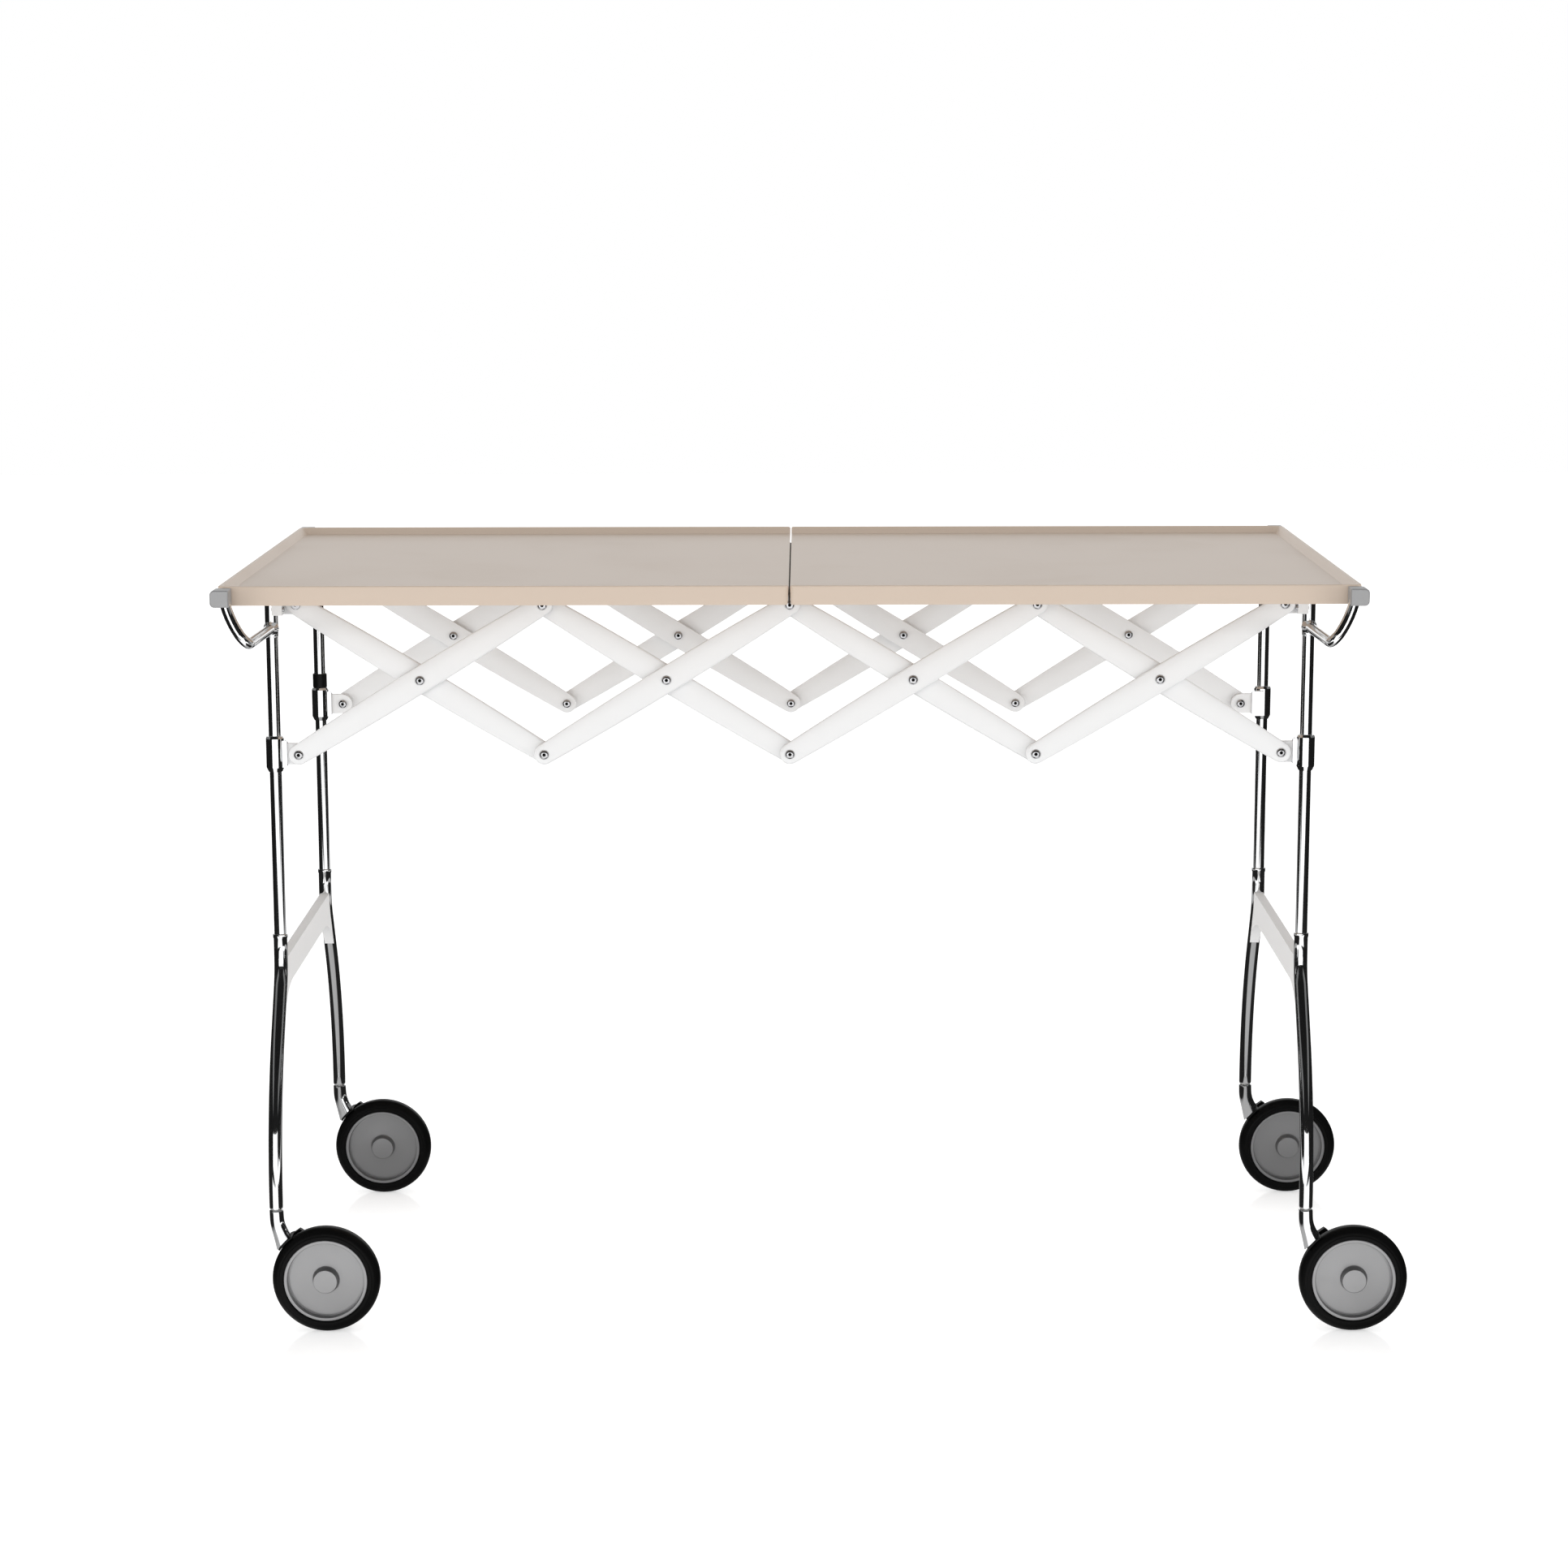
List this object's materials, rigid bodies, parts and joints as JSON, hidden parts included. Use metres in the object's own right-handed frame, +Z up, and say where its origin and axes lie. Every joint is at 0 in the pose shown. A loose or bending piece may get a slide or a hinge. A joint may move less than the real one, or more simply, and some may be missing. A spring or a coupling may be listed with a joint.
{
  "type": "room service table",
  "caption": "Folding room service table: beige tray halves on chromed leg frames joined by lazy-tong scissors, with swivel casters.",
  "frame": {"origin": "on the floor, under the middle of the whole outline with the casters trailing towards +X", "axes": "+X along the table towards the right tray half, +Y from the front to the rear, +Z up"},
  "size_m": [1.0812, 0.558, 0.7],
  "materials": {
    "tray_plastic": "fine matt moulded grain, warm beige",
    "chrome": "bright chrome plate",
    "white_enamel": "satin white enamel on aluminium",
    "satin_cap": "satin grey",
    "bright_steel": "turned bright steel",
    "nylon": "natural nylon",
    "rubber_pad": "matt",
    "tyre_rubber": "smooth black rubber",
    "hub_plastic": "satin grey moulding",
    "black_plastic": "satin black moulding"
  },
  "bodies": {
    "left_frame": {"left_caster_bushes": "nylon", "left_corner_caps": "satin_cap", "left_cross_web": "white_enamel", "left_frame_fasteners": "bright_steel", "left_leg_tubes": "chrome", "left_lower_legs": "chrome", "left_rear_stop_ring": "black_plastic", "left_top_ears": "white_enamel", "left_tray_arms": "chrome"},
    "left_collars": {"left_collar_bushes": "nylon", "left_collar_lugs": "white_enamel", "left_collar_sleeves": "chrome"},
    "left_tray": {"left_tray": "tray_plastic", "left_tray_pads": "rubber_pad"},
    "right_frame": {"right_caster_bushes": "nylon", "right_corner_caps": "satin_cap", "right_cross_web": "white_enamel", "right_frame_fasteners": "bright_steel", "right_leg_tubes": "chrome", "right_lower_legs": "chrome", "right_top_ears": "white_enamel", "right_tray_arms": "chrome"},
    "right_collars": {"right_collar_bushes": "nylon", "right_collar_lugs": "white_enamel", "right_collar_screws": "bright_steel", "right_collar_sleeves": "chrome"},
    "right_tray": {"right_tray": "tray_plastic", "right_tray_pads": "rubber_pad"},
    "inner_bar_1": {"inner_bar_1": "white_enamel"},
    "inner_bar_2": {"inner_bar_2": "white_enamel"},
    "inner_bar_3": {"inner_bar_3": "white_enamel"},
    "inner_bar_4": {"inner_bar_4": "white_enamel"},
    "outer_bar_1": {"outer_bar_1": "white_enamel", "outer_bar_1_screws": "bright_steel"},
    "outer_bar_2": {"outer_bar_2": "white_enamel", "outer_bar_2_screws": "bright_steel"},
    "outer_bar_3": {"outer_bar_3": "white_enamel", "outer_bar_3_screws": "bright_steel"},
    "outer_bar_4": {"outer_bar_4": "white_enamel", "outer_bar_4_screws": "bright_steel"},
    "left_front_caster": {"left_front_caster_axle": "bright_steel", "left_front_caster_fork": "black_plastic", "left_front_caster_neck": "chrome"},
    "left_front_wheel": {"left_front_caster_hub": "hub_plastic", "left_front_caster_tyre": "tyre_rubber"},
    "left_rear_caster": {"left_rear_caster_axle": "bright_steel", "left_rear_caster_fork": "black_plastic", "left_rear_caster_neck": "chrome"},
    "left_rear_wheel": {"left_rear_caster_hub": "hub_plastic", "left_rear_caster_tyre": "tyre_rubber"},
    "right_front_caster": {"right_front_caster_axle": "bright_steel", "right_front_caster_fork": "black_plastic", "right_front_caster_neck": "chrome"},
    "right_front_wheel": {"right_front_caster_hub": "hub_plastic", "right_front_caster_tyre": "tyre_rubber"},
    "right_rear_caster": {"right_rear_caster_axle": "bright_steel", "right_rear_caster_fork": "black_plastic", "right_rear_caster_neck": "chrome"},
    "right_rear_wheel": {"right_rear_caster_hub": "hub_plastic", "right_rear_caster_tyre": "tyre_rubber"}
  },
  "joints": [
    {"name": "left_tray_flip", "type": "hinge", "parent": "left_frame", "child": "left_tray", "pos_m": [-0.53245, 0, 0.686], "axis": [0, -1, 0], "range_deg": [0, 270]},
    {"name": "right_tray_flip", "type": "hinge", "parent": "right_frame", "child": "right_tray", "pos_m": [0.47225, 0, 0.686], "axis": [0, 1, 0], "range_deg": [0, 270]},
    {"name": "inner_bar_1_pivot", "type": "hinge", "parent": "left_frame", "child": "inner_bar_1", "pos_m": [-0.48305, 0, 0.6706], "axis": [0, 1, 0], "range_deg": [0, 45]},
    {"name": "outer_bar_1_pivot", "type": "hinge", "parent": "inner_bar_1", "child": "outer_bar_1", "pos_m": [-0.36981, 0, 0.60132], "axis": [0, -1, 0], "range_deg": [0, 90]},
    {"name": "left_collars_pivot", "type": "hinge", "parent": "outer_bar_1", "child": "left_collars", "pos_m": [-0.48305, 0, 0.53203], "axis": [0, 1, 0], "range_deg": [0, 45]},
    {"name": "inner_bar_2_pivot", "type": "hinge", "parent": "outer_bar_1", "child": "inner_bar_2", "pos_m": [-0.25657, 0, 0.6706], "axis": [0, 1, 0], "range_deg": [0, 90]},
    {"name": "outer_bar_2_pivot", "type": "hinge", "parent": "inner_bar_2", "child": "outer_bar_2", "pos_m": [-0.14334, 0, 0.60132], "axis": [0, -1, 0], "range_deg": [0, 90]},
    {"name": "inner_bar_3_pivot", "type": "hinge", "parent": "outer_bar_2", "child": "inner_bar_3", "pos_m": [-0.0301, 0, 0.6706], "axis": [0, 1, 0], "range_deg": [0, 90]},
    {"name": "outer_bar_3_pivot", "type": "hinge", "parent": "inner_bar_3", "child": "outer_bar_3", "pos_m": [0.08314, 0, 0.60132], "axis": [0, -1, 0], "range_deg": [0, 90]},
    {"name": "inner_bar_4_pivot", "type": "hinge", "parent": "outer_bar_3", "child": "inner_bar_4", "pos_m": [0.19637, 0, 0.6706], "axis": [0, 1, 0], "range_deg": [0, 90]},
    {"name": "outer_bar_4_pivot", "type": "hinge", "parent": "inner_bar_4", "child": "outer_bar_4", "pos_m": [0.30961, 0, 0.60132], "axis": [0, -1, 0], "range_deg": [0, 90]},
    {"name": "right_frame_pivot", "type": "hinge", "parent": "outer_bar_4", "child": "right_frame", "pos_m": [0.42285, 0, 0.6706], "axis": [0, 1, 0], "range_deg": [0, 45]},
    {"name": "right_collars_pivot", "type": "hinge", "parent": "inner_bar_4", "child": "right_collars", "pos_m": [0.42285, 0, 0.53203], "axis": [0, -1, 0], "range_deg": [0, 45]},
    {"name": "left_front_swivel", "type": "hinge", "parent": "left_frame", "child": "left_front_caster", "pos_m": [-0.50585, -0.222, 0.1165], "axis": [0, 0, 1], "continuous": true},
    {"name": "left_front_wheel_spin", "type": "hinge", "parent": "left_front_caster", "child": "left_front_wheel", "pos_m": [-0.46085, -0.222, 0.05], "axis": [0, 1, 0], "continuous": true},
    {"name": "left_rear_swivel", "type": "hinge", "parent": "left_frame", "child": "left_rear_caster", "pos_m": [-0.50585, 0.222, 0.1165], "axis": [0, 0, 1], "continuous": true},
    {"name": "left_rear_wheel_spin", "type": "hinge", "parent": "left_rear_caster", "child": "left_rear_wheel", "pos_m": [-0.46085, 0.222, 0.05], "axis": [0, 1, 0], "continuous": true},
    {"name": "right_front_swivel", "type": "hinge", "parent": "right_frame", "child": "right_front_caster", "pos_m": [0.44565, -0.222, 0.1165], "axis": [0, 0, 1], "continuous": true},
    {"name": "right_front_wheel_spin", "type": "hinge", "parent": "right_front_caster", "child": "right_front_wheel", "pos_m": [0.49065, -0.222, 0.05], "axis": [0, 1, 0], "continuous": true},
    {"name": "right_rear_swivel", "type": "hinge", "parent": "right_frame", "child": "right_rear_caster", "pos_m": [0.44565, 0.222, 0.1165], "axis": [0, 0, 1], "continuous": true},
    {"name": "right_rear_wheel_spin", "type": "hinge", "parent": "right_rear_caster", "child": "right_rear_wheel", "pos_m": [0.49065, 0.222, 0.05], "axis": [0, 1, 0], "continuous": true}
  ],
  "couplings": [
    {"joint": "right_tray_flip", "follows": "left_tray_flip", "ratio": 1},
    {"joint": "inner_bar_1_pivot", "follows": "left_tray_flip", "ratio": 0.16667},
    {"joint": "outer_bar_1_pivot", "follows": "left_tray_flip", "ratio": 0.33333},
    {"joint": "left_collars_pivot", "follows": "left_tray_flip", "ratio": 0.16667},
    {"joint": "inner_bar_2_pivot", "follows": "left_tray_flip", "ratio": 0.33333},
    {"joint": "outer_bar_2_pivot", "follows": "left_tray_flip", "ratio": 0.33333},
    {"joint": "inner_bar_3_pivot", "follows": "left_tray_flip", "ratio": 0.33333},
    {"joint": "outer_bar_3_pivot", "follows": "left_tray_flip", "ratio": 0.33333},
    {"joint": "inner_bar_4_pivot", "follows": "left_tray_flip", "ratio": 0.33333},
    {"joint": "outer_bar_4_pivot", "follows": "left_tray_flip", "ratio": 0.33333},
    {"joint": "right_frame_pivot", "follows": "left_tray_flip", "ratio": 0.16667},
    {"joint": "right_collars_pivot", "follows": "left_tray_flip", "ratio": 0.16667}
  ]
}
